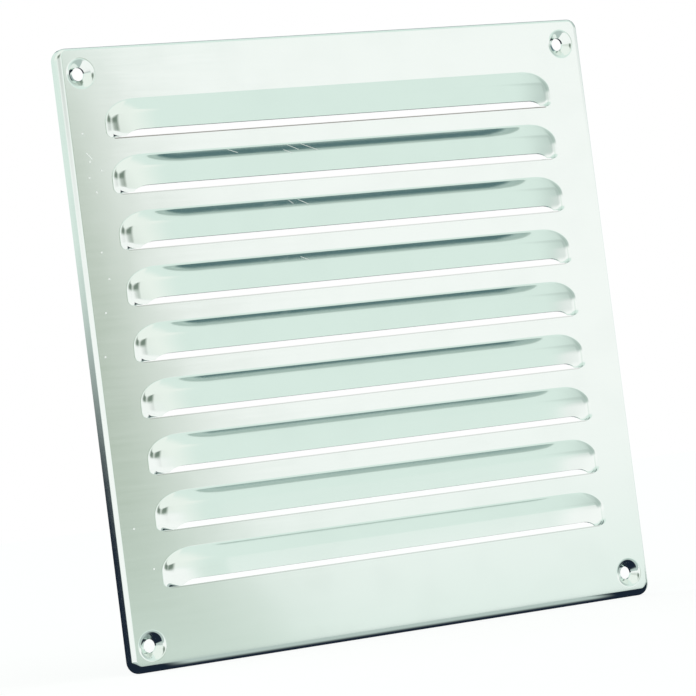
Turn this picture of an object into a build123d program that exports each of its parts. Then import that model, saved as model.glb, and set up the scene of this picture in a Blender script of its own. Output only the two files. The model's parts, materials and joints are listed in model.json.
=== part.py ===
"""Louvred vent grille: one square of aluminium sheet, pressed to shape.

The edges are turned back to form a shallow rim that stands on the wall. Lanced
louvres are pushed out of the face as hoods that open downwards, with quarter
round ends. The screw holes sit in pressed dimples that reach back to the wall.

Frame: +X to the right, +Z up, +Y into the wall. The origin is the middle of
the plate on the wall plane, and the louvred face looks along -Y.
"""

import os
from math import cos, radians, tan

from build123d import *

# Sheet and turned rim, in millimetres
plate_width = 229.0
plate_height = 229.0
sheet = 0.8
rim_inner_bend = 2.0
rim_wall = 1.0
flat_corner_radius = 1.9

# Rows of louvres: the flats kept round them and between them, and the height of one hood
side_margin = 18.0
top_margin = 20.1
bottom_margin = 29.4
row_land = 7.0
hood_height = 13.7

# Free lip of a hood: its height over the slot edge, and how far from the end it comes down
lip_gap = 2.2
lip_landing = 6.0

# How far the slot stops short of the hood's end
slot_inset = 2.0

# Section of a hood, from the fold on the face to the free lip, in millimetres and degrees
flank_slope = 38.5
flank_length = 5.1
shoulder_radius = 3.0
lip_slope = 6.0

# Dimpled screw holes, and the flat between a dimple and the bend of the rim
hole_diameter = 5.0
dimple_slope = 45.0
dimple_land = 1.55

# Rim and face that follow from the bend
rim_bend = rim_inner_bend + sheet
rim_depth = rim_bend + rim_wall
corner_radius = flat_corner_radius + rim_bend
face_y = -rim_depth

# Half of one louvre, from the middle of the plate to its end
half_length = plate_width / 2 - side_margin
dome_radius = hood_height - lip_gap
straight_half = half_length - dome_radius
arch_end = half_length - lip_landing
slot_end = half_length - slot_inset

# Rows: as many as fit between the margins, in the middle of that room
louvre_pitch = hood_height + row_land
room_for_rows = plate_height - top_margin - bottom_margin
row_count = int((room_for_rows + row_land) / louvre_pitch)
spare_height = room_for_rows + row_land - row_count * louvre_pitch
lowest_slot = bottom_margin + spare_height / 2 - plate_height / 2
slot_heights = [lowest_slot + row * louvre_pitch for row in range(row_count)]

# Folds: how far the back of the sheet folds before its front, on a hood and on a dimple
hood_fold_shift = sheet * tan(radians(flank_slope / 2))
dimple_fold_shift = sheet * tan(radians(dimple_slope / 2))

# Dimples: a cone from the flat face to the hole's rear edge on the wall plane
hole_radius = hole_diameter / 2
cone_sheet = sheet / cos(radians(dimple_slope))
cone_spread = (rim_depth - cone_sheet) / tan(radians(dimple_slope))
dimple_radius = hole_radius + cone_spread
hole_inset = rim_bend + dimple_land + dimple_radius
hole_x = plate_width / 2 - hole_inset
hole_z = plate_height / 2 - hole_inset
hole_corners = [(x, z) for x in (-hole_x, hole_x) for z in (-hole_z, hole_z)]


def tray_block(inset):
    """The plate as a block with its bend and corners, drawn in all round except at the back."""
    with BuildPart() as block:
        with BuildSketch(Plane.XZ):
            RectangleRounded(plate_width - 2 * inset, plate_height - 2 * inset, corner_radius - inset)
        extrude(amount=rim_depth - inset)
        front_face = block.faces().sort_by(Axis.Y)[0]
        fillet(front_face.edges(), rim_bend - inset)
    return block.part


def hood_surface(start, flank_run, shoulder):
    """Draw one surface of a hood's section and return its end at the lip.

    The line leaves the flat at its start, climbs the flank, rounds the shoulder
    and runs straight to the lip. Local x is the distance from the lip, local y
    the height in front of the face.
    """
    flank = PolarLine(start, flank_run, 180 - flank_slope)
    round_off = JernArc(flank @ 1, flank % 1, shoulder, flank_slope - lip_slope)
    lip_run = (round_off @ 1).X
    lip = (0, (round_off @ 1).Y + lip_run * tan(radians(lip_slope)))
    Line(round_off @ 1, lip)
    return lip


def hood_section(plane):
    """The pressed sheet between its front and back surfaces, as a face on a plane."""
    with BuildSketch(plane) as section:
        with BuildLine():
            front_start = (dome_radius, 0)
            front_lip = hood_surface(front_start, flank_length, shoulder_radius)
            back_start = (dome_radius - hood_fold_shift, -sheet)
            back_flank = flank_length + hood_fold_shift
            back_lip = hood_surface(back_start, back_flank, shoulder_radius - sheet)
            Polyline(front_start, (dome_radius, -sheet), back_start)
            Line(front_lip, back_lip)
        make_face()
    return section.sketch


# One hood, with its slot edge at height 0: the right half is drawn and mirrored
lip_corner = (straight_half, face_y, lip_gap)
across = Plane(origin=lip_corner, x_dir=(0, 0, 1), z_dir=(1, 0, 0))
downward = Plane(origin=lip_corner, x_dir=(1, 0, 0), z_dir=(0, 0, -1))
skirt = Vector(-slot_inset, 0, -lip_gap)
dome_axis = Axis(lip_corner, (0, 1, 0))
hood_rise = hood_section(Plane.XY).bounding_box().max.Y

with BuildPart() as hood:
    # Straight run from the middle to where the end begins to turn
    extrude(hood_section(across), amount=-straight_half)

    # Quarter round end, turned about the end of the lip
    revolve(hood_section(across), axis=dome_axis, revolution_arc=90)

    # Short skirt below the lip, drawn in to the end of the slot
    extrude(hood_section(downward), amount=skirt.length, dir=skirt)

    # The free lip comes down in an arc and meets the slot edge short of the end
    with BuildSketch(Plane.XZ.offset(rim_depth)):
        with BuildLine():
            arch = TangentArc((straight_half, lip_gap), (arch_end, 0), tangent=(1, 0))
            Polyline(arch @ 1, (0, 0), (0, lip_gap), arch @ 0)
        make_face()
    extrude(amount=hood_rise, both=True, mode=Mode.SUBTRACT)
    mirror(about=Plane.YZ)

# The window that a hood leaves in the face: the slot edge, two ends and the fold
with BuildSketch() as hood_window:
    with BuildLine():
        end = Line((slot_end, 0), (half_length, lip_gap))
        turn = TangentArc(end @ 1, (straight_half, hood_height), tangent=(0, 1))
        Polyline(turn @ 1, (0, hood_height), (0, 0), end @ 0)
    make_face()
    mirror(about=Plane.YZ)

# One dimple about the Y axis, its hole's rear edge on the wall plane
dimple_half = Plane(origin=(0, face_y, 0), x_dir=(1, 0, 0), z_dir=(0, 0, 1))

with BuildPart() as dimple:
    with BuildSketch(dimple_half):
        with BuildLine():
            front_fold = (dimple_radius, 0)
            front_edge = (hole_radius, rim_depth - cone_sheet)
            back_edge = (hole_radius, rim_depth)
            back_fold = (dimple_radius - dimple_fold_shift, sheet)
            back_rim = (dimple_radius, sheet)
            Polyline(front_fold, front_edge, back_edge, back_fold, back_rim, close=True)
        make_face()
    revolve(axis=Axis.Y)

# The pressed sheet: a shallow tray, opened for each hood and dimple, with both pressed in
with BuildPart() as louvre_plate:
    add(tray_block(0))
    add(tray_block(sheet), mode=Mode.SUBTRACT)

    with BuildSketch(Plane.XZ.offset(rim_depth)):
        with Locations([(0, height) for height in slot_heights]):
            add(hood_window.sketch)
        with Locations(hole_corners):
            Circle(dimple_radius)
    extrude(amount=-sheet, mode=Mode.SUBTRACT)

    with Locations([(0, 0, height) for height in slot_heights]):
        add(hood.part)
    with Locations([(x, 0, z) for x, z in hole_corners]):
        add(dimple.part)

louvre_plate.part.label = "louvre_plate"

os.makedirs("parts", exist_ok=True)
export_step(louvre_plate.part, "parts/louvre_plate.step")
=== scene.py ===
"""Looks of the louvred vent grille: its pressed sheet, its satin metal and the studio round it."""

import json
import logging
import math
from dataclasses import dataclass, replace
from enum import Enum
from functools import reduce
from operator import mul
from typing import Callable

import bmesh
import bpy
from mathutils import Matrix, Vector


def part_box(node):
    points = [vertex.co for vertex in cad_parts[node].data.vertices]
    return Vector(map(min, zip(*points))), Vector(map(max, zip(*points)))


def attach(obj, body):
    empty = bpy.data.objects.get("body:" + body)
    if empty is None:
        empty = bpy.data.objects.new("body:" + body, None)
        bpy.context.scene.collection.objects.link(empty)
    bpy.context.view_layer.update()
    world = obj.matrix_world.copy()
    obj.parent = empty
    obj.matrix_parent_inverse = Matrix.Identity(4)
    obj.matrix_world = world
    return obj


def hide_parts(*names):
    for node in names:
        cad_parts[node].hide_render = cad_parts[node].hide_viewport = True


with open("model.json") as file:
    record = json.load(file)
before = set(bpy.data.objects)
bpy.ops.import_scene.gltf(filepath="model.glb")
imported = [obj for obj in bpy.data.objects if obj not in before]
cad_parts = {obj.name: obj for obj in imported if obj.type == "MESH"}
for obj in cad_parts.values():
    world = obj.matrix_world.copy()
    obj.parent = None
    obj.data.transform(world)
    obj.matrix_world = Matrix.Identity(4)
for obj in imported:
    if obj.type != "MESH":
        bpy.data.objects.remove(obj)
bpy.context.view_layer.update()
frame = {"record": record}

MM = 0.001
NODE = "louvre_plate"
NEAR = 0.001 * MM

log = logging.getLogger("louvred_vent")


class Axis(Enum):
    """Axes of the shared frame that outlines are turned round."""

    Y = (0.0, 1.0, 0.0)
    Z = (0.0, 0.0, 1.0)


def select_only(piece: bpy.types.Object) -> None:
    """Select one piece alone and make it the active one.

    Args:
        piece: The mesh object.
    """
    bpy.ops.object.select_all(action="DESELECT")
    piece.select_set(True)
    bpy.context.view_layer.objects.active = piece


@dataclass
class Bench:
    """One mesh on the bench, worked in edit mode by places and operators.

    Attributes:
        piece: The mesh object, at the origin, unturned and unscaled.
    """

    piece: bpy.types.Object

    @classmethod
    def take(cls, name: str) -> "Bench":
        """Name the primitive that was just added, fix its place in its mesh and open it.

        Args:
            name: The name of the new piece.

        Returns:
            The bench that holds the piece, in edit mode with everything selected.
        """
        bpy.ops.object.transform_apply(location=True, rotation=True, scale=True)
        piece = bpy.context.object
        piece.name = name
        piece.data.name = name
        bpy.ops.object.mode_set(mode="EDIT")
        bpy.ops.mesh.select_mode(type="VERT")
        bpy.ops.mesh.select_all(action="SELECT")
        return cls(piece)

    @classmethod
    def from_point(cls, name: str, place: Vector) -> "Bench":
        """Start a piece as one point: a small plane, merged to its middle.

        Args:
            name: The name of the new piece.
            place: Where the point lies.

        Returns:
            The bench, with the point selected.
        """
        bpy.ops.object.select_all(action="DESELECT")
        bpy.ops.mesh.primitive_plane_add(size=MM, location=place)
        bench = cls.take(name)
        bpy.ops.mesh.merge(type="CENTER")
        return bench

    @classmethod
    def from_block(cls, name: str, low: Vector, high: Vector) -> "Bench":
        """Start a piece as a block between two corners.

        Args:
            name: The name of the new piece.
            low: The lowest corner.
            high: The highest corner.

        Returns:
            The bench, with the block selected.
        """
        bpy.ops.object.select_all(action="DESELECT")
        bpy.ops.mesh.primitive_cube_add(size=1, location=(low + high) / 2, scale=high - low)
        return cls.take(name)

    @classmethod
    def reopen(cls, piece: bpy.types.Object) -> "Bench":
        """Put a finished piece back on the bench.

        Args:
            piece: The mesh object.

        Returns:
            The bench, in edit mode with nothing selected.
        """
        select_only(piece)
        bpy.ops.object.mode_set(mode="EDIT")
        bpy.ops.mesh.select_mode(type="VERT")
        bpy.ops.mesh.select_all(action="DESELECT")
        return cls(piece)

    def pick(self, test: Callable[[Vector], bool]) -> None:
        """Select the points that pass a test, and what lies between them.

        Args:
            test: Says whether a point at a place is picked.
        """
        bpy.ops.mesh.select_mode(type="VERT")
        bpy.ops.mesh.select_all(action="DESELECT")
        mesh = bmesh.from_edit_mesh(self.piece.data)
        for point in mesh.verts:
            point.select = test(point.co)
        mesh.select_flush(True)
        bmesh.update_edit_mesh(self.piece.data)

    def pick_edges(self, test: Callable[[Vector, Vector], bool], only_open: bool = False) -> None:
        """Select the edges whose two ends pass a test.

        Args:
            test: Says whether an edge between two places is picked.
            only_open: Leaves out the edges that have a face on both sides.
        """
        bpy.ops.mesh.select_mode(type="EDGE")
        bpy.ops.mesh.select_all(action="DESELECT")
        mesh = bmesh.from_edit_mesh(self.piece.data)
        for edge in mesh.edges:
            is_candidate = not only_open or len(edge.link_faces) < 2
            edge.select = is_candidate and test(edge.verts[0].co, edge.verts[1].co)
        bmesh.update_edit_mesh(self.piece.data)

    def extrude(self, move: Vector) -> None:
        """Draw the selection out by a move, which leaves the new end selected."""
        bpy.ops.mesh.extrude_region_move(TRANSFORM_OT_translate={"value": move})

    def turn(self, degrees: float, centre: Vector, axis: Axis, steps: int) -> None:
        """Draw the selection round an axis, by the right-hand rule.

        Args:
            degrees: The angle to turn through.
            centre: A point on the axis.
            axis: The direction of the axis.
            steps: How many facets the turn takes.
        """
        bpy.ops.mesh.spin(steps=steps, angle=-math.radians(degrees), center=centre, axis=axis.value)

    def weld(self) -> None:
        """Merge points that lie on one another."""
        bpy.ops.mesh.select_mode(type="VERT")
        bpy.ops.mesh.select_all(action="SELECT")
        bpy.ops.mesh.remove_doubles(threshold=NEAR)

    def close(self) -> bpy.types.Object:
        """Leave edit mode and hand the piece over."""
        bpy.ops.object.mode_set(mode="OBJECT")
        return self.piece


def apply_modifier(piece: bpy.types.Object, kind: str, **settings: object) -> None:
    """Add a modifier to a piece, set it and apply it.

    Args:
        piece: The mesh object.
        kind: The modifier's type.
        settings: The modifier's properties.
    """
    select_only(piece)
    modifier = piece.modifiers.new(kind.title(), kind)
    for name, value in settings.items():
        setattr(modifier, name, value)
    bpy.ops.object.modifier_apply(modifier=modifier.name)


def join(pieces: list[bpy.types.Object], name: str) -> bpy.types.Object:
    """Join meshes into one piece.

    Args:
        pieces: The mesh objects, of which the first keeps its object.
        name: The name of the joined piece.

    Returns:
        The joined piece.
    """
    bpy.ops.object.select_all(action="DESELECT")
    for piece in pieces:
        piece.select_set(True)
    bpy.context.view_layer.objects.active = pieces[0]
    bpy.ops.object.join()
    joined = bpy.context.object
    joined.name = name
    joined.data.name = name
    return joined


def copy_to(piece: bpy.types.Object, move: Vector) -> bpy.types.Object:
    """Copy a piece with its own mesh, moved.

    Args:
        piece: The piece to copy.
        move: How far the copy is moved.

    Returns:
        The copy.
    """
    twin = piece.copy()
    twin.data = piece.data.copy()
    twin.data.transform(Matrix.Translation(move))
    bpy.context.collection.objects.link(twin)
    return twin


class Profile:
    """A line of arcs and straights that leaves level, as points of run and rise in metres."""

    def __init__(self) -> None:
        """Start at the origin."""
        self.points = [(0.0, 0.0)]

    def arc(self, radius: float, start: float, end: float, steps: int) -> None:
        """Add an arc between two slopes.

        Args:
            radius: Radius of the arc.
            start: Slope where it begins, in degrees.
            end: Slope where it ends, in degrees.
            steps: How many facets it takes.
        """
        run, rise = self.points[-1]
        reach = radius if end > start else -radius
        first = math.radians(start)
        for step in range(1, steps + 1):
            slope = math.radians(start + (end - start) * step / steps)
            across = reach * (math.sin(slope) - math.sin(first))
            self.points.append((run + across, rise + reach * (math.cos(first) - math.cos(slope))))

    def straight(self, length: float, slope: float, steps: int) -> None:
        """Add a straight.

        Args:
            length: Its length.
            slope: Its slope, in degrees.
            steps: How many pieces it takes.
        """
        run, rise = self.points[-1]
        angle = math.radians(slope)
        for step in range(1, steps + 1):
            part = length * step / steps
            self.points.append((run + part * math.cos(angle), rise + part * math.sin(angle)))


@dataclass
class Hood:
    """One louvre hood: the pressed skin between its crease, its soft ends and its free lip.

    The slot edge of the hood lies on the plane Z = 0. Lengths are in metres.

    Attributes:
        face: Y of the plate's flat face.
        half_length: Half the length of the louvre.
        height: From the slot edge to the crease, taken as a sharp fold.
        lip_gap: Height of the free lip over the slot edge.
        lip_landing: Distance from the louvre's end to where the lip meets the slot edge.
        slot_inset: How far the slot stops short of the louvre's end.
        seam: Height of the hairline between the landed lip and the slot edge.
        seam_end: Length over which the hairline closes at the louvre's end.
        crease_radius: Radius of the fold on the face.
        crease_angle: Slope of the sheet above the fold, in degrees.
        flank: Length of the straight slope, from where the fold would be if it were sharp.
        shoulder_radius: Radius of the round above the slope.
        lip_slope: Slope of the sheet at the lip, in degrees.
        end_fold: Radius of the fold round the ends.
        end_slope: Steepest slope of the ends, in degrees.
        nose_radius: Radius of the round above the ends' slope.
        crown_slope: Slope at which the nose passes into the long crown, in degrees.
        crown_radius: Radius of the crown that runs out into the straight hood.
        corner: Height over the slot edge below which the ends are drawn in.
        drawn_in: How far along the hood that reaches.
        round_start: Height over the slot edge above which the ends are rounded off.
        round_length: How far the crease stops short of the ends for that round.
        round_reach: How far along the hood the round is felt.
        crease_steps: Facets of a fold.
        flank_steps: Rows of the straight slope.
        shoulder_steps: Facets of the shoulder.
        lip_steps: Rows from the shoulder to the lip.
        nose_steps: Facets of the nose.
        crown_steps: Facets of the crown.
    """

    face: float
    half_length: float
    height: float = 13.7 * MM
    lip_gap: float = 2.2 * MM
    lip_landing: float = 5.2 * MM
    slot_inset: float = 2.0 * MM
    seam: float = 0.12 * MM
    seam_end: float = 2.0 * MM
    crease_radius: float = 1.4 * MM
    crease_angle: float = 38.5
    flank: float = 5.1 * MM
    shoulder_radius: float = 3.0 * MM
    lip_slope: float = 6.0
    end_fold: float = 3.4 * MM
    end_slope: float = 40.0
    nose_radius: float = 6.0 * MM
    crown_slope: float = 11.0
    crown_radius: float = 120.0 * MM
    corner: float = 2.3 * MM
    drawn_in: float = 9.0 * MM
    round_start: float = 5.6 * MM
    round_length: float = 13.0 * MM
    round_reach: float = 27.0 * MM
    crease_steps: int = 8
    flank_steps: int = 8
    shoulder_steps: int = 14
    lip_steps: int = 16
    nose_steps: int = 12
    crown_steps: int = 16

    @property
    def setback(self) -> float:
        """How far the rounded crease starts before a sharp fold would."""
        return self.crease_radius * math.tan(math.radians(self.crease_angle / 2))

    @property
    def end(self) -> float:
        """From the middle of the louvre to where its rounded end starts."""
        return self.half_length + self.end_fold * math.tan(math.radians(self.end_slope / 2))

    def section(self) -> list[tuple[float, float]]:
        """Draw the section from the crease to the end of the shoulder.

        Returns:
            Its points, as run and rise.
        """
        line = Profile()
        line.arc(self.crease_radius, 0.0, self.crease_angle, self.crease_steps)
        line.straight(self.flank - self.setback, self.crease_angle, self.flank_steps)
        line.arc(self.shoulder_radius, self.crease_angle, self.lip_slope, self.shoulder_steps)
        return line.points

    def columns(self) -> list[tuple[float, float]]:
        """Space the columns of the skin along the hood, from its middle to its end.

        Returns:
            The place of each column and its share of the full rise.
        """
        line = Profile()
        line.arc(self.end_fold, 0.0, self.end_slope, self.crease_steps)
        line.arc(self.nose_radius, self.end_slope, self.crown_slope, self.nose_steps)
        line.arc(self.crown_radius, self.crown_slope, 0.0, self.crown_steps)
        full = line.points[-1][1]
        return [(0.0, 1.0)] + [(self.end - run, rise / full) for run, rise in reversed(line.points)]

    def lip(self, x: float) -> float:
        """Height of the lip's edge over the slot edge.

        Args:
            x: Distance from the middle of the louvre.

        Returns:
            The height: level, then an arc that lands on the slot edge, then a hairline that closes.
        """
        level_end = self.half_length - self.height + self.lip_gap
        span = self.half_length - self.lip_landing - level_end
        along = max(x - level_end, 0.0)
        hairline = self.seam * min(1.0, (self.end - x) / self.seam_end)
        if along >= span:
            return hairline
        radius = (span**2 + self.lip_gap**2) / (2 * self.lip_gap)
        return max(self.lip_gap - radius + math.sqrt(radius**2 - along**2), hairline)

    def inset(self, x: float, z: float) -> float:
        """How far a place near the end is drawn in, below to the slot and above to the crease.

        Args:
            x: Distance from the middle of the louvre.
            z: Height over the slot edge.

        Returns:
            The distance, in a quarter round below and another above.
        """
        down = max(0.0, 1.0 - z / self.corner)
        low_share = max(0.0, 1.0 - (self.end - x) / self.drawn_in)
        low_reach = self.end - self.half_length + self.slot_inset
        up = max(0.0, (z - self.round_start) / (self.height + self.setback - self.round_start))
        high_share = max(0.0, 1.0 - (self.end - x) / self.round_reach)
        low = low_reach * low_share * (1.0 - math.sqrt(1.0 - down**2))
        return low + self.round_length * high_share * (1.0 - math.sqrt(1.0 - min(up, 1.0) ** 2))

    def build(self) -> bpy.types.Object:
        """Shape a grid to one half of the hood and mirror it.

        Returns:
            The skin of the hood.
        """
        columns = self.columns()
        section = self.section()
        top = self.height + self.setback
        shoulder_run, shoulder_rise = section[-1]
        below = top - shoulder_run
        last_column = len(columns) - 1
        last_row = len(section) - 1 + self.lip_steps
        bpy.ops.object.select_all(action="DESELECT")
        bpy.ops.mesh.primitive_grid_add(x_subdivisions=last_column, y_subdivisions=last_row, size=1)
        bench = Bench.take("hood")
        mesh = bmesh.from_edit_mesh(bench.piece.data)
        for point in mesh.verts:
            x, share = columns[round((point.co.x + 0.5) * last_column)]
            row = round((0.5 - point.co.y) * last_row)
            if row < len(section):
                run, rise = section[row]
                z = top - run
            else:
                part = math.sin(math.pi / 2 * (row - len(section) + 1) / self.lip_steps)
                z = below - part * (below - self.lip(x))
                rise = shoulder_rise + (below - z) * math.tan(math.radians(self.lip_slope))
            point.co = (x - self.inset(x, z), self.face - rise * share, z)
        bmesh.update_edit_mesh(bench.piece.data)
        bench.weld()
        piece = bench.close()
        apply_modifier(piece, "MIRROR", use_axis=(True, False, False), use_clip=True)
        return piece


@dataclass
class Dimple:
    """One pressed dimple with its screw hole, round the Y axis. Lengths are in metres.

    Attributes:
        face: Y of the plate's flat face.
        sheet: Thickness of the sheet.
        hole_radius: Radius of the pierced hole.
        slope: Slope of the cone, in degrees.
        inner_bend: Radius of the bend on the back of the sheet.
        wall_gap: How far the hole's rear edge stays in front of the wall.
        bend_steps: Facets of the rolled edge.
        round_steps: Facets round the hole.
    """

    face: float
    sheet: float
    hole_radius: float
    slope: float = 42.0
    inner_bend: float = 1.4 * MM
    wall_gap: float = 0.46 * MM
    bend_steps: int = 8
    round_steps: int = 72

    @property
    def bend(self) -> float:
        """Radius of the rolled edge on the front."""
        return self.inner_bend + self.sheet

    @property
    def cone_depth(self) -> float:
        """Depth of the cone's front surface at the hole.

        Returns:
            The depth, less that of the rolled edge.
        """
        slope = math.radians(self.slope)
        full = -self.face - self.wall_gap - self.sheet / math.cos(slope)
        return full - self.bend * (1 - math.cos(slope))

    @property
    def radius(self) -> float:
        """Radius at which the dimple leaves the flat face."""
        slope = math.radians(self.slope)
        return self.hole_radius + self.cone_depth / math.tan(slope) + self.bend * math.sin(slope)

    def build(self) -> bpy.types.Object:
        """Draw the rolled edge and the cone, past the hole, and turn them round.

        Returns:
            The skin of the dimple.
        """
        slope = math.radians(self.slope)
        start = Vector((self.radius, self.face, 0))
        bench = Bench.from_point("dimple", start)
        bench.turn(-self.slope, start + Vector((0, self.bend, 0)), Axis.Z, self.bend_steps)
        past_hole = self.sheet * math.sin(slope)
        depth = self.cone_depth + past_hole * math.tan(slope)
        bench.extrude(depth * Vector((-1 / math.tan(slope), 1, 0)))
        bench.pick(lambda place: True)
        bench.turn(360, Vector((0, 0, 0)), Axis.Y, self.round_steps)
        bench.weld()
        return bench.close()

    def build_punch(self) -> bpy.types.Object:
        """Make the punch that pierces the hole.

        Returns:
            A rod that stands out on both sides of the sheet.
        """
        bpy.ops.object.select_all(action="DESELECT")
        bpy.ops.mesh.primitive_cylinder_add(
            vertices=self.round_steps,
            radius=self.hole_radius,
            depth=-4 * self.face,
            rotation=(math.radians(90), 0, 0),
        )
        return Bench.take("punch").close()


@dataclass
class PressedPlate:
    """The whole grille as one pressed sheet. Lengths are in metres.

    Attributes:
        low: Lowest corner of the plate in the shared frame.
        high: Highest corner of the plate in the shared frame.
        hole_spacing: Distance between the screw holes.
        hole_radius: Radius of the screw holes.
        sheet: Thickness of the sheet.
        rim_inner_bend: Radius of the rim's bend on the back.
        rim_wall: Depth of the straight wall behind the bend.
        flat_corner_radius: Radius of the flat face's corners.
        side_margin: From the plate's side to a louvre's end.
        top_margin: Least height kept above the highest louvre.
        bottom_margin: Least height kept below the lowest louvre.
        row_land: Height of the flat between two louvres.
        lowest_crease_angle: Slope of the lowest hood above its fold, in degrees.
        top_bend_share: Share of the full bend that the top edge has.
        corner_steps: Facets of a corner.
        bend_steps: Facets of the rim's bend.
        flat_angle: Angle up to which faces count as one flat, in degrees.
        smooth_angle: Angle up to which an edge is shaded smooth, in degrees.
        flat_weight: How strongly large faces lead the shading.
    """

    low: Vector
    high: Vector
    hole_spacing: float
    hole_radius: float
    sheet: float = 0.8 * MM
    rim_inner_bend: float = 2.0 * MM
    rim_wall: float = 1.0 * MM
    flat_corner_radius: float = 1.9 * MM
    side_margin: float = 18.0 * MM
    top_margin: float = 20.1 * MM
    bottom_margin: float = 29.4 * MM
    row_land: float = 7.0 * MM
    lowest_crease_angle: float = 35.0
    top_bend_share: float = 0.35
    corner_steps: int = 16
    bend_steps: int = 12
    flat_angle: float = 0.5
    smooth_angle: float = 32.0
    flat_weight: int = 90

    @property
    def rim_bend(self) -> float:
        """Radius of the rim's bend on the front."""
        return self.rim_inner_bend + self.sheet

    @property
    def face(self) -> float:
        """Y of the flat face."""
        return -self.rim_bend - self.rim_wall

    def hood(self) -> Hood:
        """The hood of the rows, from which the lowest one differs only in its slope."""
        return Hood(face=self.face, half_length=self.high.x - self.side_margin)

    def slot_heights(self, hood: Hood) -> list[float]:
        """Heights of the slot edges, from the lowest row up.

        Args:
            hood: The hood of the rows.

        Returns:
            One height for each row that fits between the margins.
        """
        pitch = hood.height + self.row_land
        room = self.high.z - self.low.z - self.top_margin - self.bottom_margin
        count = int((room + self.row_land) / pitch)
        spare = room + self.row_land - count * pitch
        lowest = self.low.z + self.bottom_margin + spare / 2
        return [lowest + row * pitch for row in range(count)]

    def build_rim(self) -> bpy.types.Object:
        """Round a block's corners and front edge, and keep its bend and wall.

        Returns:
            The skin of the rim.
        """
        low = Vector((self.low.x, self.face, self.low.z))
        high = Vector((self.high.x, 0, self.high.z))
        bench = Bench.from_block("pressed_sheet", low, high)
        bench.pick_edges(lambda one, two: abs(one.y - two.y) > self.rim_wall)
        bpy.ops.mesh.bevel(
            offset=self.flat_corner_radius + self.rim_bend, segments=self.corner_steps, affect="EDGES"
        )
        rim = bench.close()
        weights = rim.data.attributes.new("bevel_weight_edge", "FLOAT", "EDGE")
        for edge in rim.data.edges:
            ends = [rim.data.vertices[index].co for index in edge.vertices]
            if max(end.y for end in ends) < self.face / 2:
                weights.data[edge.index].value = self.bend_share((ends[0].z + ends[1].z) / 2)
        apply_modifier(
            rim,
            "BEVEL",
            limit_method="WEIGHT",
            width=self.rim_bend,
            segments=self.bend_steps,
            use_clamp_overlap=False,
        )
        bench = Bench.reopen(rim)
        bench.pick(lambda place: place.y < self.face + NEAR)
        bpy.ops.mesh.delete(type="ONLY_FACE")
        bench.pick(lambda place: place.y > -NEAR)
        bpy.ops.mesh.delete(type="ONLY_FACE")
        return bench.close()

    def bend_share(self, z: float) -> float:
        """How much of the full bend an edge of the face has: less along the tight top edge.

        Args:
            z: Height of the edge's middle.

        Returns:
            The share, between that of the top edge and 1.
        """
        radius = self.flat_corner_radius + self.rim_bend
        up = min(1.0, max(0.0, (z - self.high.z + radius) / radius))
        return 1.0 + (self.top_bend_share - 1.0) * up

    def build(self) -> bpy.types.Object:
        """Press the sheet: rim, hoods and dimples joined, the flat filled between, then thickened.

        Returns:
            The pierced sheet.
        """
        hood = self.hood()
        dimple = Dimple(face=self.face, sheet=self.sheet, hole_radius=self.hole_radius)
        heights = self.slot_heights(hood)
        half = self.hole_spacing / 2
        corners = [Vector((x, 0, z)) for x in (-half, half) for z in (-half, half)]

        first_hood = hood.build()
        lowest_hood = replace(hood, crease_angle=self.lowest_crease_angle).build()
        first_dimple = dimple.build()
        pieces = [self.build_rim(), copy_to(lowest_hood, Vector((0, 0, heights[0])))]
        pieces += [copy_to(first_hood, Vector((0, 0, height))) for height in heights[1:]]
        pieces += [copy_to(first_dimple, corner) for corner in corners]
        for pattern in (first_hood, lowest_hood, first_dimple):
            bpy.data.objects.remove(pattern)
        plate = join(pieces, "pressed_sheet")
        self.fill_flat(plate, hood, heights)
        self.thicken(plate)
        self.pierce(plate, dimple, corners)
        return plate

    def fill_flat(self, plate: bpy.types.Object, hood: Hood, heights: list[float]) -> None:
        """Close the flat face between the rim, the louvres and the dimples.

        Args:
            plate: The joined skin, open where the flat goes.
            hood: The hood of the rows.
            heights: Heights of the slot edges.
        """
        bench = Bench.reopen(plate)
        for height in heights:

            def ends_slot(place: Vector, level: float = height) -> bool:
                """Say whether a place is an end of this row's slot edge.

                Args:
                    place: The place of a point.
                    level: Height of the slot edge.

                Returns:
                    True at the two ends, where the hood's skirt leaves the flat.
                """
                is_level = max(abs(place.y - self.face), abs(place.z - level)) < NEAR
                return is_level and abs(place.x) < hood.half_length

            bench.pick(ends_slot)
            bpy.ops.mesh.edge_face_add()
        bench.weld()
        bench.pick_edges(
            lambda one, two: max(abs(one.y - self.face), abs(two.y - self.face)) < NEAR, only_open=True
        )
        bpy.ops.mesh.fill(use_beauty=True)
        bpy.ops.mesh.dissolve_limited(angle_limit=math.radians(self.flat_angle), delimit={"NORMAL"})
        bpy.ops.mesh.select_all(action="SELECT")
        bpy.ops.mesh.normals_make_consistent(inside=False)
        mesh = bmesh.from_edit_mesh(plate.data)
        flat = max(mesh.faces, key=lambda one: one.calc_area())
        if flat.normal.y > 0:
            bpy.ops.mesh.flip_normals()
        bench.close()

    def thicken(self, plate: bpy.types.Object) -> None:
        """Give the skin its sheet thickness behind the front surface."""
        apply_modifier(plate, "SOLIDIFY", thickness=self.sheet, offset=-1, use_even_offset=True)

    def pierce(self, plate: bpy.types.Object, dimple: Dimple, corners: list[Vector]) -> None:
        """Punch the screw holes through the dimples.

        Args:
            plate: The thickened sheet.
            dimple: The dimple that every corner has.
            corners: The places of the holes.
        """
        punch = dimple.build_punch()
        punches = join([copy_to(punch, corner) for corner in corners], "punches")
        apply_modifier(plate, "BOOLEAN", operation="DIFFERENCE", object=punches, solver="EXACT")
        bpy.data.objects.remove(punch)
        bpy.data.objects.remove(punches)

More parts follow.
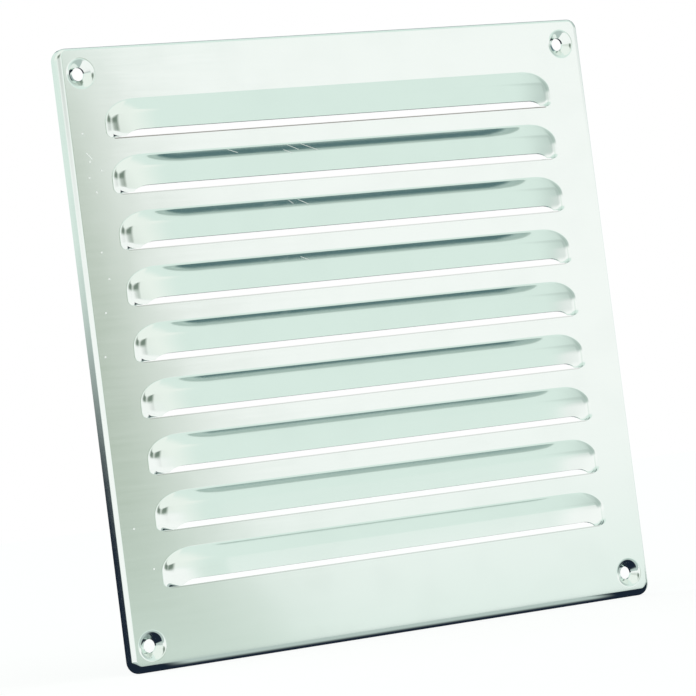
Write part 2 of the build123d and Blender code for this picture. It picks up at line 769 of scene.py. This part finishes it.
    def smooth(self, plate: bpy.types.Object) -> None:
        """Shade the bends smooth and keep the flats flat.

        Args:
            plate: The pierced sheet.
        """
        select_only(plate)
        bpy.ops.object.shade_smooth_by_angle(angle=math.radians(self.smooth_angle))
        settings = {"mode": "FACE_AREA", "weight": self.flat_weight, "keep_sharp": True}
        apply_modifier(plate, "WEIGHTED_NORMAL", **settings)


class Signal:
    """A value in a shader graph: arithmetic on it adds Math nodes."""

    def __init__(self, graph: "ShaderGraph", socket: bpy.types.NodeSocket) -> None:
        """Hold an output socket.

        Args:
            graph: The graph that the socket is in.
            socket: The output that carries the value.
        """
        self.graph = graph
        self.socket = socket

    def __add__(self, other: "Number") -> "Signal":
        """Add a number or a signal."""
        return self.graph.math("ADD", self, other)

    def __radd__(self, other: float) -> "Signal":
        """Add this to a number."""
        return self.graph.math("ADD", other, self)

    def __sub__(self, other: "Number") -> "Signal":
        """Take a number or a signal away."""
        return self.graph.math("SUBTRACT", self, other)

    def __rsub__(self, other: float) -> "Signal":
        """Take this away from a number."""
        return self.graph.math("SUBTRACT", other, self)

    def __mul__(self, other: "Number") -> "Signal":
        """Multiply by a number or a signal."""
        return self.graph.math("MULTIPLY", self, other)

    def __rmul__(self, other: float) -> "Signal":
        """Multiply a number by this."""
        return self.graph.math("MULTIPLY", other, self)

    def __truediv__(self, other: "Number") -> "Signal":
        """Divide by a number or a signal."""
        return self.graph.math("DIVIDE", self, other)

    def __rtruediv__(self, other: float) -> "Signal":
        """Divide a number by this."""
        return self.graph.math("DIVIDE", other, self)

    def __neg__(self) -> "Signal":
        """Change the sign."""
        return self.graph.math("MULTIPLY", self, -1.0)

    def __abs__(self) -> "Signal":
        """Drop the sign."""
        return self.graph.math("ABSOLUTE", self, 0.0)

    def step(self, low: float, high: float) -> "Signal":
        """Rise smoothly from 0 to 1 between two values, or fall where the first is the larger.

        Args:
            low: The value that gives 0.
            high: The value that gives 1.

        Returns:
            The smooth step.
        """
        ends = {"From Min": min(low, high), "From Max": max(low, high)}
        ends |= {"To Min": float(low > high), "To Max": float(low < high)}
        node = self.graph.node("MapRange", {"interpolation_type": "SMOOTHSTEP"}, {"Value": self} | ends)
        return Signal(self.graph, node.outputs["Result"])


Number = Signal | float
Colour = tuple[float, float, float]
Factors = tuple[float, float, float]
Ramp = tuple[float, float]
Inputs = dict[str | int, object]


class ShaderGraph:
    """A node tree that is written as plain maths."""

    MIX_FIRST, MIX_SECOND, MIX_RESULT = 6, 7, 2
    NOISE_ROUGHNESS = 0.55

    def __init__(self, tree: bpy.types.NodeTree) -> None:
        """Empty a node tree and hold it.

        Args:
            tree: The tree of a material or a world.
        """
        self.tree = tree
        tree.nodes.clear()

    def node(self, kind: str, settings: dict[str, object], inputs: Inputs) -> bpy.types.Node:
        """Add a node.

        Args:
            kind: The node's type, without its ShaderNode prefix.
            settings: Its properties, which are set first.
            inputs: Its sockets by name or number, with a signal, a socket or a constant for each.

        Returns:
            The new node.
        """
        node = self.tree.nodes.new("ShaderNode" + kind)
        for name, value in settings.items():
            setattr(node, name, value)
        for key, value in inputs.items():
            socket = node.inputs[key]
            if isinstance(value, Signal):
                self.tree.links.new(value.socket, socket)
            elif isinstance(value, bpy.types.NodeSocket):
                self.tree.links.new(value, socket)
            elif isinstance(value, tuple) and len(value) == 3 and socket.type == "RGBA":
                socket.default_value = (*value, 1.0)
            else:
                socket.default_value = value
        return node

    def signal(self, kind: str, settings: dict[str, object], inputs: Inputs, out: str) -> Signal:
        """Add a node and take one of its outputs as a signal.

        Args:
            kind: The node's type, without its ShaderNode prefix.
            settings: Its properties.
            inputs: Its sockets, as in node().
            out: The output's name.

        Returns:
            The output as a signal.
        """
        return Signal(self, self.node(kind, settings, inputs).outputs[out])

    def math(self, operation: str, one: Number, two: Number) -> Signal:
        """Add a Math node.

        Args:
            operation: The node's operation.
            one: The first value.
            two: The second value.

        Returns:
            The result.
        """
        return self.signal("Math", {"operation": operation}, {0: one, 1: two}, "Value")

    def largest(self, *values: Number) -> Signal:
        """Find the largest of some values.

        Args:
            values: The values, of which one or more are signals.

        Returns:
            The largest one.
        """
        result = values[0]
        for value in values[1:]:
            result = self.math("MAXIMUM", result, value)
        return result

    def mix(self, one: object, two: object, factor: Number) -> bpy.types.NodeSocket:
        """Blend two colours.

        Args:
            one: The colour where the factor is 0.
            two: The colour where the factor is 1.
            factor: How much of the second colour is taken.

        Returns:
            The blended colour.
        """
        inputs = {"Factor": factor, self.MIX_FIRST: one, self.MIX_SECOND: two}
        node = self.node("Mix", {"data_type": "RGBA", "clamp_factor": True}, inputs)
        return node.outputs[self.MIX_RESULT]

    def scaled(self, vector: bpy.types.NodeSocket, scale: Factors) -> bpy.types.NodeSocket:
        """Multiply a vector part by part."""
        node = self.node("VectorMath", {"operation": "MULTIPLY"}, {0: vector, 1: scale})
        return node.outputs["Vector"]

    def noise(self, vector: bpy.types.NodeSocket, scale: float, detail: float) -> Signal:
        """Add a noise texture.

        Args:
            vector: Where the texture is read.
            scale: How fine it is.
            detail: How many finer layers it has.

        Returns:
            The noise, about 0.5 on average.
        """
        inputs = {"Vector": vector, "Scale": scale, "Detail": detail}
        inputs |= {"Roughness": self.NOISE_ROUGHNESS}
        return self.signal("TexNoise", {}, inputs, "Fac")


@dataclass(frozen=True)
class Scratch:
    """A fine pale scratch on the front, in millimetres.

    Attributes:
        start: X and Z of one end.
        end: X and Z of the other end.
        width: Half the width over which it shows at all.
        core: Share of that width over which it shows in full.
        fade_out: How far past its ends it fades away.
        fade_in: How far inside its ends it shows in full.
    """

    start: tuple[float, float]
    end: tuple[float, float]
    width: float = 0.2
    core: float = 0.4
    fade_out: float = 0.3
    fade_in: float = 0.6

    def mask(self, x: Signal, z: Signal) -> Signal:
        """Show where the scratch is.

        Args:
            x: X in millimetres.
            z: Z in millimetres.

        Returns:
            1 on the scratch and 0 off it.
        """
        length = math.dist(self.start, self.end)
        right = (self.end[0] - self.start[0]) / length
        up = (self.end[1] - self.start[1]) / length
        along = right * (x - self.start[0]) + up * (z - self.start[1])
        across = abs(right * (z - self.start[1]) - up * (x - self.start[0]))
        line = across.step(self.width, self.core * self.width)
        line = line * along.step(-self.fade_out, self.fade_in)
        return line * along.step(length + self.fade_out, length - self.fade_in)


@dataclass(frozen=True)
class Speck:
    """A tiny pale speck on the front, in millimetres.

    Attributes:
        x: X of its middle.
        z: Z of its middle.
        radius: Radius over which it shows at all.
        core: Share of its area over which it shows in full.
    """

    x: float
    z: float
    radius: float = 0.42
    core: float = 0.3

    def mask(self, x: Signal, z: Signal) -> Signal:
        """Show where the speck is.

        Args:
            x: X in millimetres.
            z: Z in millimetres.

        Returns:
            1 on the speck and 0 off it.
        """
        right = x - self.x
        up = z - self.z
        return (right * right + up * up).step(self.radius**2, self.core * self.radius**2)


SCRATCHES = (
    Scratch((-23.5, 73.3), (-19.6, 70.9)),
    Scratch((-17.6, 73.3), (-11.7, 70.2)),
    Scratch((-26.1, 71.4), (-23.0, 69.7)),
    Scratch((-49.0, 73.2), (-45.3, 71.5)),
    Scratch((-25.9, 52.4), (-24.5, 50.8)),
    Scratch((-21.9, 52.4), (-18.2, 50.0)),
    Scratch((-24.2, 30.8), (-21.3, 29.2)),
    Scratch((-106.8, 75.8), (-104.5, 73.2)),
)
SPECKS = (
    Speck(-107.3, 82.9),
    Speck(-105.6, 72.4),
    Speck(-101.3, 68.9),
    Speck(-106.7, 66.6),
    Speck(-104.4, 61.1),
    Speck(-105.5, 39.1),
    Speck(-103.8, 29.2),
    Speck(-106.9, 17.0),
    Speck(-109.3, 1.1),
    Speck(-106.5, -62.1),
    Speck(-100.5, -77.5),
)


@dataclass(frozen=True)
class AluminiumFinish:
    """Bright rolled aluminium with a soft, slightly uneven shine, and painted shade along the slots'
    cut edges.

    Attributes:
        lowest_slot: Height of the lowest slot edge, in millimetres.
        highest_slot: Height of the highest slot edge, in millimetres.
        pitch: Height from one slot edge to the next, in millimetres.
        slot_half: Half the length of a slot, in millimetres.
        front: Y of the flat face, in millimetres.
        front_depth: Depths behind it where marks end and where they show in full, in millimetres.
        tone: Colour of the clean metal.
        dull: Colour where the metal has dulled.
        worn: Colour of scratches and specks.
        worn_rough: How much rougher those are.
        worn_matt: How much of the metal's shine they lose.
        edge_shade: Painted shade: colour of the dark line along a slot's cut edge, where the edge lies
            in shadow.
        edge_shade_ramp: Where below the slot edge the painted shade ends and where it is full, in
            millimetres.
        edge_shade_rows: How far past the outer rows the painted shade ends and how far it is full, in
            millimetres.
        edge_shade_ends: How far past a slot's end the painted shade ends and is full, in millimetres.
        edge_shade_strength: How strong the painted shade is on every row.
        edge_shade_top: How much stronger the painted shade is on the top row.
        roughness: Roughness of the clean metal.
        uneven: How much the roughness wanders with the clouds.
        clouds: How fine the clouds of dulled metal are.
        cloud_detail: How many finer layers the clouds have.
        cloud_ramp: Values of the clouds where the metal is clean and where it is dull.
        grain: How fine the rolling grain is along each axis.
        grain_detail: How many finer layers the grain has.
        grain_rough: How much the roughness wanders with the grain.
        grain_height: Height of the grain, as a share of the bump.
        waves: How fine the waves of the sheet are.
        wave_detail: How many finer layers the waves have.
        wave_height: Height of the waves, as a share of the bump.
        bump: Strength of the bump.
        bump_depth: Depth of the bump, in metres.
    """

    lowest_slot: float
    highest_slot: float
    pitch: float
    slot_half: float
    front: float
    front_depth: Ramp = (0.5, 0.2)
    tone: Colour = (0.86, 0.92, 0.885)
    dull: Colour = (0.845, 0.905, 0.87)
    worn: Colour = (0.93, 0.95, 0.93)
    worn_rough: float = 0.4
    worn_matt: float = 0.6
    # Painted shade: the colour of the dark line along the slot edges, not the metal's own colour.
    edge_shade: Colour = (0.27, 0.26, 0.24)
    edge_shade_ramp: Ramp = (0.5, 0.3)
    edge_shade_rows: Ramp = (2.0, 1.0)
    edge_shade_ends: Ramp = (0.5, -0.5)
    edge_shade_strength: float = 0.3
    edge_shade_top: float = 0.6
    roughness: float = 0.09
    uneven: float = 0.04
    clouds: float = 45.0
    cloud_detail: float = 4.0
    cloud_ramp: Ramp = (0.42, 0.72)
    grain: Factors = (40.0, 400.0, 900.0)
    grain_detail: float = 3.0
    grain_rough: float = 0.05
    grain_height: float = 0.004
    waves: float = 30.0
    wave_detail: float = 2.0
    wave_height: float = 0.6
    bump: float = 0.05
    bump_depth: float = 0.6 * MM

    def build(self) -> bpy.types.Material:
        """Make the material.

        Returns:
            The finished material.
        """
        material = bpy.data.materials.new("rolled_aluminium")
        material.use_nodes = True
        graph = ShaderGraph(material.node_tree)
        place = graph.node("TexCoord", {}, {}).outputs["Object"]
        clouds = graph.noise(place, self.clouds, self.cloud_detail)
        grain = graph.noise(graph.scaled(place, self.grain), 1.0, self.grain_detail)
        waves = graph.noise(place, self.waves, self.wave_detail)
        parts = graph.node("SeparateXYZ", {}, {"Vector": graph.scaled(place, (1 / MM, 1 / MM, 1 / MM))})
        x, y, z = (Signal(graph, socket) for socket in parts.outputs)
        is_front = y.step(*(self.front + depth for depth in self.front_depth))
        marks = is_front * graph.largest(*(mark.mask(x, z) for mark in SCRATCHES + SPECKS))
        colour = graph.mix(self.tone, self.dull, clouds.step(*self.cloud_ramp))
        # Painted shade: a thin dark line along each slot's cut edge stands in for the edge in shadow.
        colour = graph.mix(colour, self.edge_shade, is_front * self.slot_edge_shade(graph, x, z))
        colour = graph.mix(colour, self.worn, marks)
        rough = self.roughness + self.uneven * (clouds - 0.5) + self.grain_rough * (grain - 0.5)
        height = self.wave_height * waves + self.grain_height * grain
        inputs = {"Strength": self.bump, "Distance": self.bump_depth, "Height": height}
        normal = graph.node("Bump", {}, inputs).outputs["Normal"]
        inputs = {"Base Color": colour, "Roughness": rough + self.worn_rough * marks}
        inputs |= {"Metallic": 1.0 - self.worn_matt * marks, "Normal": normal}
        shader = graph.node("BsdfPrincipled", {}, inputs)
        graph.node("OutputMaterial", {}, {"Surface": shader.outputs["BSDF"]})
        return material

    def slot_edge_shade(self, graph: ShaderGraph, x: Signal, z: Signal) -> Signal:
        """Paint shade along each slot's cut edge as a thin dark line, strongest on the top row.

        Args:
            graph: The graph of the material.
            x: X in millimetres.
            z: Z in millimetres.

        Returns:
            How strong the painted shade is.
        """
        out, full = self.edge_shade_rows
        rows = z.step(self.lowest_slot - out, self.lowest_slot - full)
        rows = rows * z.step(self.highest_slot + out, self.highest_slot + full)
        inside = abs(x).step(*(self.slot_half + reach for reach in self.edge_shade_ends))
        over = graph.math("FLOORED_MODULO", z - self.lowest_slot, self.pitch)
        line = over.step(*(self.pitch - drop for drop in self.edge_shade_ramp))
        top = z.step(self.highest_slot - self.pitch, self.highest_slot - full)
        return rows * inside * line * (self.edge_shade_strength + self.edge_shade_top * top)


@dataclass(frozen=True)
class Zone:
    """A part of the surroundings with soft edges, in degrees.

    An edge is a pair of angles: the zone is out at the first and full at the second.

    Attributes:
        bearings: Edges over the bearing, which is 0 in front of the grille and 90 at its right.
        rises: Edges over the rise above the level.
    """

    bearings: tuple[Ramp, ...]
    rises: tuple[Ramp, ...] = ()

    def mask(self, bearing: Signal, rise: Signal) -> Signal:
        """Show where the zone is.

        Args:
            bearing: The bearing of a direction.
            rise: The rise of a direction.

        Returns:
            1 in the zone and 0 outside it.
        """
        edges = [bearing.step(*edge) for edge in self.bearings]
        edges += [rise.step(*edge) for edge in self.rises]
        return reduce(mul, edges)


@dataclass(frozen=True)
class PanelEdge:
    """The soft, slanting left edge of the bright panel, in degrees.

    Attributes:
        bearing: Bearing of the edge's middle at the level.
        lean: How far the edge leans to the left for each degree of rise.
        low_start: Rise below which it leans further.
        low_lean: How much further it leans there.
        width: Width of the edge at the level.
        narrower_above: How much narrower it gets with each degree above the level.
        narrower_below: How much narrower it gets with each degree below the level.
        least_width: Width that it keeps.
    """

    bearing: float = 26.75
    lean: float = 0.12
    low_start: float = -1.0
    low_lean: float = 0.66
    width: float = 2.5
    narrower_above: float = 0.34
    narrower_below: float = 0.6
    least_width: float = 0.6

    def mask(self, graph: ShaderGraph, bearing: Signal, rise: Signal) -> Signal:
        """Show what lies to the right of the edge.

        Args:
            graph: The graph of the world.
            bearing: The bearing of a direction.
            rise: The rise of a direction.

        Returns:
            1 at the right of the edge and 0 at its left.
        """
        low = graph.math("MINIMUM", rise - self.low_start, 0.0)
        below = graph.math("MINIMUM", rise, 0.0)
        above = graph.math("MAXIMUM", rise, 0.0)
        slanted = bearing + self.lean * rise + self.low_lean * low
        width = self.width + self.narrower_below * below - self.narrower_above * above
        across = (slanted - self.bearing) / graph.largest(width, self.least_width)
        return across.step(-0.5, 0.5)


@dataclass(frozen=True)
class ShadowCard:
    """A narrow glowing card of painted shadow below the plate, dark near it, which only mirrored rays
    see. Lengths are in metres.

    Attributes:
        dark: Colour of the painted shadow near the plate.
        pale: Colour of the card further off.
        middle: X of its middle.
        width: Its width.
        depth: Its depth.
        ahead: How far its middle lies in front of the plate.
        lift: Its height over the plate's lowest edge.
        near_fade: Places in Y, from the plate's front, between which the painted shadow pales away from
            the corners.
        corner_fade: Distances in X, from the plate's middle, between which a corner's dark ends.
        far_fade: Places in Y, from the plate's front, between which all of it pales.
    """

    dark: Colour
    pale: Colour
    middle: float = 100.0 * MM
    width: float = 500.0 * MM
    depth: float = 50.0 * MM
    ahead: float = 18.0 * MM
    lift: float = 0.2 * MM
    near_fade: Ramp = (5.4 * MM, 3.0 * MM)
    corner_fade: Ramp = (100.0 * MM, 88.0 * MM)
    far_fade: Ramp = (-7.0 * MM, -12.0 * MM)

    def build(self, plate_low: Vector) -> bpy.types.Object:
        """Lay the card of painted shadow.

        Args:
            plate_low: Lowest corner of the plate.

        Returns:
            The card.
        """
        bpy.ops.object.select_all(action="DESELECT")
        bpy.ops.mesh.primitive_plane_add(size=1)
        shadow_card = bpy.context.object
        shadow_card.name = "shadow_card"
        shadow_card.location = (self.middle, plate_low.y - self.ahead, plate_low.z + self.lift)
        shadow_card.scale = (self.width, self.depth, 1)
        bpy.ops.object.transform_apply(location=True, rotation=True, scale=True)
        shadow_card.visible_camera = False
        shadow_card.visible_diffuse = False
        shadow_card.visible_shadow = False
        material = bpy.data.materials.new("painted_shadow_card")
        material.use_nodes = True
        graph = ShaderGraph(material.node_tree)
        place = graph.node("TexCoord", {}, {}).outputs["Object"]
        parts = graph.node("SeparateXYZ", {}, {"Vector": place})
        x, y = (Signal(graph, parts.outputs[name]) for name in "XY")
        near = y.step(*(plate_low.y + reach for reach in self.near_fade))
        far = y.step(*(plate_low.y + reach for reach in self.far_fade))
        # Painted shadow: darkest next to the plate and paling away, it stands in for the shade beneath
        # the plate in the metal's reflections.
        fade = graph.largest(near * abs(x).step(*self.corner_fade), far)
        colour = graph.mix(self.dark, self.pale, fade)
        glow = graph.node("Emission", {}, {"Color": colour, "Strength": 1.0})
        graph.node("OutputMaterial", {}, {"Surface": glow.outputs["Emission"]})
        shadow_card.data.materials.append(material)
        return shadow_card


@dataclass(frozen=True)
class Studio:
    """A pale tent with a bright panel at the right front, over a dark table, and a white floor.

    Attributes:
        tent: Colour of the tent.
        panel: Colour of the bright panels.
        panel_zone: Where the right panel is, apart from its left edge.
        panel_edge: The left edge of that panel.
        left_panel_zone: Where the left panel is.
        left_floor_zone: Where the bright floor at the left is.
        pale: Colour of the tent's brighter left.
        pale_zone: Where that is, apart from its right edge.
        pale_edge: Right edge of that at the level, in degrees.
        pale_curve: How fast that edge curves to the right with the square of the rise.
        gap: Colour of the dim gap beside the right panel.
        gap_zone: Where the gap is, apart from the panel's edge.
        dim: Colour of the tent's greyer right.
        dim_zone: Where that is.
        patch: Colour of the dim patch above the left panel.
        patch_zone: Where the patch is.
        shade: Colour of the shade behind the grille.
        shade_zone: Where the shade is.
        front: Colour of the ground in front.
        front_ramp: Rises between which the tent passes into that ground.
        table: Colour of the dark table at the sides and behind.
        table_zones: Where the table is on the ground.
        table_edge_zone: Where the table at the left stands above the ground.
        horizon: Rises between which the ground passes into the tent.
        floor_size: Width of the white floor, in metres.
        floor_paper: Colour of the floor.
        floor_glow: How brightly the floor shines by itself.
    """

    tent: Colour = (0.79, 0.895, 0.85)
    panel: Colour = (1.04, 1.03, 1.03)
    panel_zone: Zone = Zone(((125, 95),), ((-8, 0), (9.8, 7.2)))
    panel_edge: PanelEdge = PanelEdge()
    left_panel_zone: Zone = Zone(((-60, -52), (18, 10)), ((-8, -4), (8.5, 6)))
    left_floor_zone: Zone = Zone(((-105, -95), (19, 9)), ((-85, -70), (-4, -8)))
    pale: Colour = (0.94, 0.97, 0.93)
    pale_zone: Zone = Zone(((-110, -90),), ((6, 9),))
    pale_edge: Ramp = (20, 8)
    pale_curve: float = 0.0075
    gap: Colour = (0.44, 0.5, 0.42)
    gap_zone: Zone = Zone(((14, 22),), ((-14, -8), (7.8, 6.2)))
    dim: Colour = (0.5, 0.58, 0.55)
    dim_zone: Zone = Zone(((41, 63), (123, 101)), ((4, 10), (54, 18)))
    patch: Colour = (0.2, 0.25, 0.21)
    patch_zone: Zone = Zone(((-57, -31), (11, -15)), ((3, 13), (31, 21)))
    shade: Colour = (0.11, 0.19, 0.21)
    shade_zone: Zone = Zone(((104, 118), (172, 160)), ((2, 12), (66, 34)))
    front: Colour = (0.5, 0.58, 0.56)
    front_ramp: Ramp = (-10, -36)
    table: Colour = (0.012, 0.02, 0.035)
    table_zones: tuple[Zone, ...] = (Zone(((-46, -82),)), Zone(((100, 140),)))
    table_edge_zone: Zone = Zone(((-54, -64),), ((4.5, -0.5),))
    horizon: Ramp = (-6, 1)
    floor_size: float = 8.0
    floor_paper: Colour = (0.25, 0.25, 0.25)
    floor_glow: float = 0.8

    def build_world(self) -> bpy.types.World:
        """Set up the light that comes from all round, white where the camera sees it.

        Returns:
            The world.
        """
        world = bpy.data.worlds.new("studio")
        world.use_nodes = True
        graph = ShaderGraph(world.node_tree)
        direction = graph.node("TexCoord", {}, {}).outputs["Generated"]
        parts = graph.node("SeparateXYZ", {}, {"Vector": direction})
        right, back, up = (Signal(graph, socket) for socket in parts.outputs)
        bearing = math.degrees(1) * graph.math("ARCTAN2", right, -back)
        rise = math.degrees(1) * graph.math("ARCSINE", up, 0.0)

        in_panel = self.panel_edge.mask(graph, bearing, rise)
        panel = in_panel * self.panel_zone.mask(bearing, rise)
        left_panel = self.left_panel_zone.mask(bearing, rise)
        left_floor = self.left_floor_zone.mask(bearing, rise)
        pale = (bearing - self.pale_curve * rise * rise).step(*self.pale_edge)
        layers = (
            (self.pale, pale * self.pale_zone.mask(bearing, rise)),
            (self.panel, graph.largest(panel, left_panel)),
            (self.gap, (1.0 - in_panel) * self.gap_zone.mask(bearing, rise)),
            (self.dim, self.dim_zone.mask(bearing, rise)),
            (self.patch, self.patch_zone.mask(bearing, rise)),
            (self.shade, self.shade_zone.mask(bearing, rise)),
        )
        tent = self.tent
        for tone, mask in layers:
            tent = graph.mix(tent, tone, mask)
        table = graph.largest(*(zone.mask(bearing, rise) for zone in self.table_zones))
        ground = graph.mix(self.tent, self.front, rise.step(*self.front_ramp))
        ground = graph.mix(ground, self.table, table)
        ground = graph.mix(ground, self.panel, graph.largest(left_panel, left_floor))
        colour = graph.mix(ground, tent, rise.step(*self.horizon))
        colour = graph.mix(colour, self.table, self.table_edge_zone.mask(bearing, rise))

        seen = graph.signal("LightPath", {}, {}, "Is Camera Ray")
        colour = graph.mix(colour, (1.0, 1.0, 1.0), seen)
        background = graph.node("Background", {}, {"Color": colour, "Strength": 1.0})
        graph.node("OutputWorld", {}, {"Surface": background.outputs["Background"]})
        bpy.context.scene.world = world
        return world

    def build_floor(self, height: float) -> bpy.types.Object:
        """Lay the white floor that catches the grille's shadow.

        Args:
            height: Z of the floor.

        Returns:
            The floor.
        """
        bpy.ops.object.select_all(action="DESELECT")
        bpy.ops.mesh.primitive_plane_add(size=self.floor_size, location=(0, 0, height))
        floor = bpy.context.object
        floor.name = "floor"
        floor.visible_glossy = False
        material = bpy.data.materials.new("white_floor")
        material.use_nodes = True
        graph = ShaderGraph(material.node_tree)
        paper = graph.node("BsdfDiffuse", {}, {"Color": self.floor_paper})
        glow = graph.node("Emission", {}, {"Color": (1.0, 1.0, 1.0), "Strength": self.floor_glow})
        both = graph.node("AddShader", {}, {0: paper.outputs["BSDF"], 1: glow.outputs["Emission"]})
        graph.node("OutputMaterial", {}, {"Surface": both.outputs["Shader"]})
        floor.data.materials.append(material)
        return floor


@dataclass(frozen=True)
class PhotoCamera:
    """The camera that took the photograph: angles in degrees, lengths in metres.

    Attributes:
        yaw: How far it looks to the right of straight at the wall.
        pitch: How far it looks up.
        roll: How far the picture is turned.
        distance: Distance from the target.
        target: The place in the middle of the picture.
        focal_pixels: Focal length, in pixels of the picture.
        frame_pixels: Width and height of the picture, in pixels.
        sensor: Width and height of the sensor, in millimetres.
        nearest: Distance from which the camera sees.
    """

    yaw: float = 29.82
    pitch: float = 1.76
    roll: float = 7.28
    distance: float = 1.3254
    target: tuple[float, float, float] = (-0.00598, 0.0, -0.00513)
    focal_pixels: float = 3500.3
    frame_pixels: float = 696.0
    sensor: float = 36.0
    nearest: float = 0.01

    def build(self) -> bpy.types.Object:
        """Set the camera up and make it the scene's own.

        Returns:
            The camera.
        """
        yaw, pitch, roll = (math.radians(angle) for angle in (self.yaw, self.pitch, self.roll))
        level_right = Vector((math.cos(yaw), -math.sin(yaw), 0))
        level_forward = Vector((math.sin(yaw), math.cos(yaw), 0))
        forward = math.cos(pitch) * level_forward + math.sin(pitch) * Vector((0, 0, 1))
        level_down = forward.cross(level_right)
        right = math.cos(roll) * level_right + math.sin(roll) * level_down
        down = math.cos(roll) * level_down - math.sin(roll) * level_right
        data = bpy.data.cameras.new("photo_camera")
        data.sensor_width = self.sensor
        data.sensor_height = self.sensor
        data.lens = self.sensor * self.focal_pixels / self.frame_pixels
        data.clip_start = self.nearest
        camera = bpy.data.objects.new("photo_camera", data)
        bpy.context.collection.objects.link(camera)
        turn = Matrix((right, -down, -forward)).transposed().to_4x4()
        camera.matrix_world = Matrix.Translation(Vector(self.target) - self.distance * forward) @ turn
        bpy.context.scene.camera = camera
        return camera


def main() -> None:
    """Build the plate, dress it, set up the studio and log the sheet's face count."""
    logging.basicConfig(level=logging.INFO)
    record = frame["record"]
    screws = next(mount for mount in record["mounts"] if mount["name"] == "screw_holes")
    low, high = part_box(NODE)
    plate = PressedPlate(
        low=low,
        high=high,
        hole_spacing=screws["dims"]["spacing_x_mm"] * MM,
        hole_radius=screws["dims"]["hole_r_mm"] * MM,
    )
    piece = plate.build()
    plate.smooth(piece)
    log.info("pressed sheet: %d faces", len(piece.data.polygons))
    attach(piece, "root")
    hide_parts(NODE)
    piece.data.materials.clear()
    hood = plate.hood()
    heights = plate.slot_heights(hood)
    finish = AluminiumFinish(
        lowest_slot=heights[0] / MM,
        highest_slot=heights[-1] / MM,
        pitch=(heights[1] - heights[0]) / MM,
        slot_half=(hood.half_length - hood.slot_inset) / MM,
        front=plate.face / MM,
    )
    piece.data.materials.append(finish.build())
    studio = Studio()
    studio.build_world()
    studio.build_floor(low.z)
    # A glowing card of painted shadow under the plate, which only the metal's reflections see.
    ShadowCard(dark=studio.table, pale=studio.front).build(low)
    PhotoCamera().build()
    bpy.context.scene.view_settings.view_transform = "Standard"


if __name__ == "__main__":
    main()
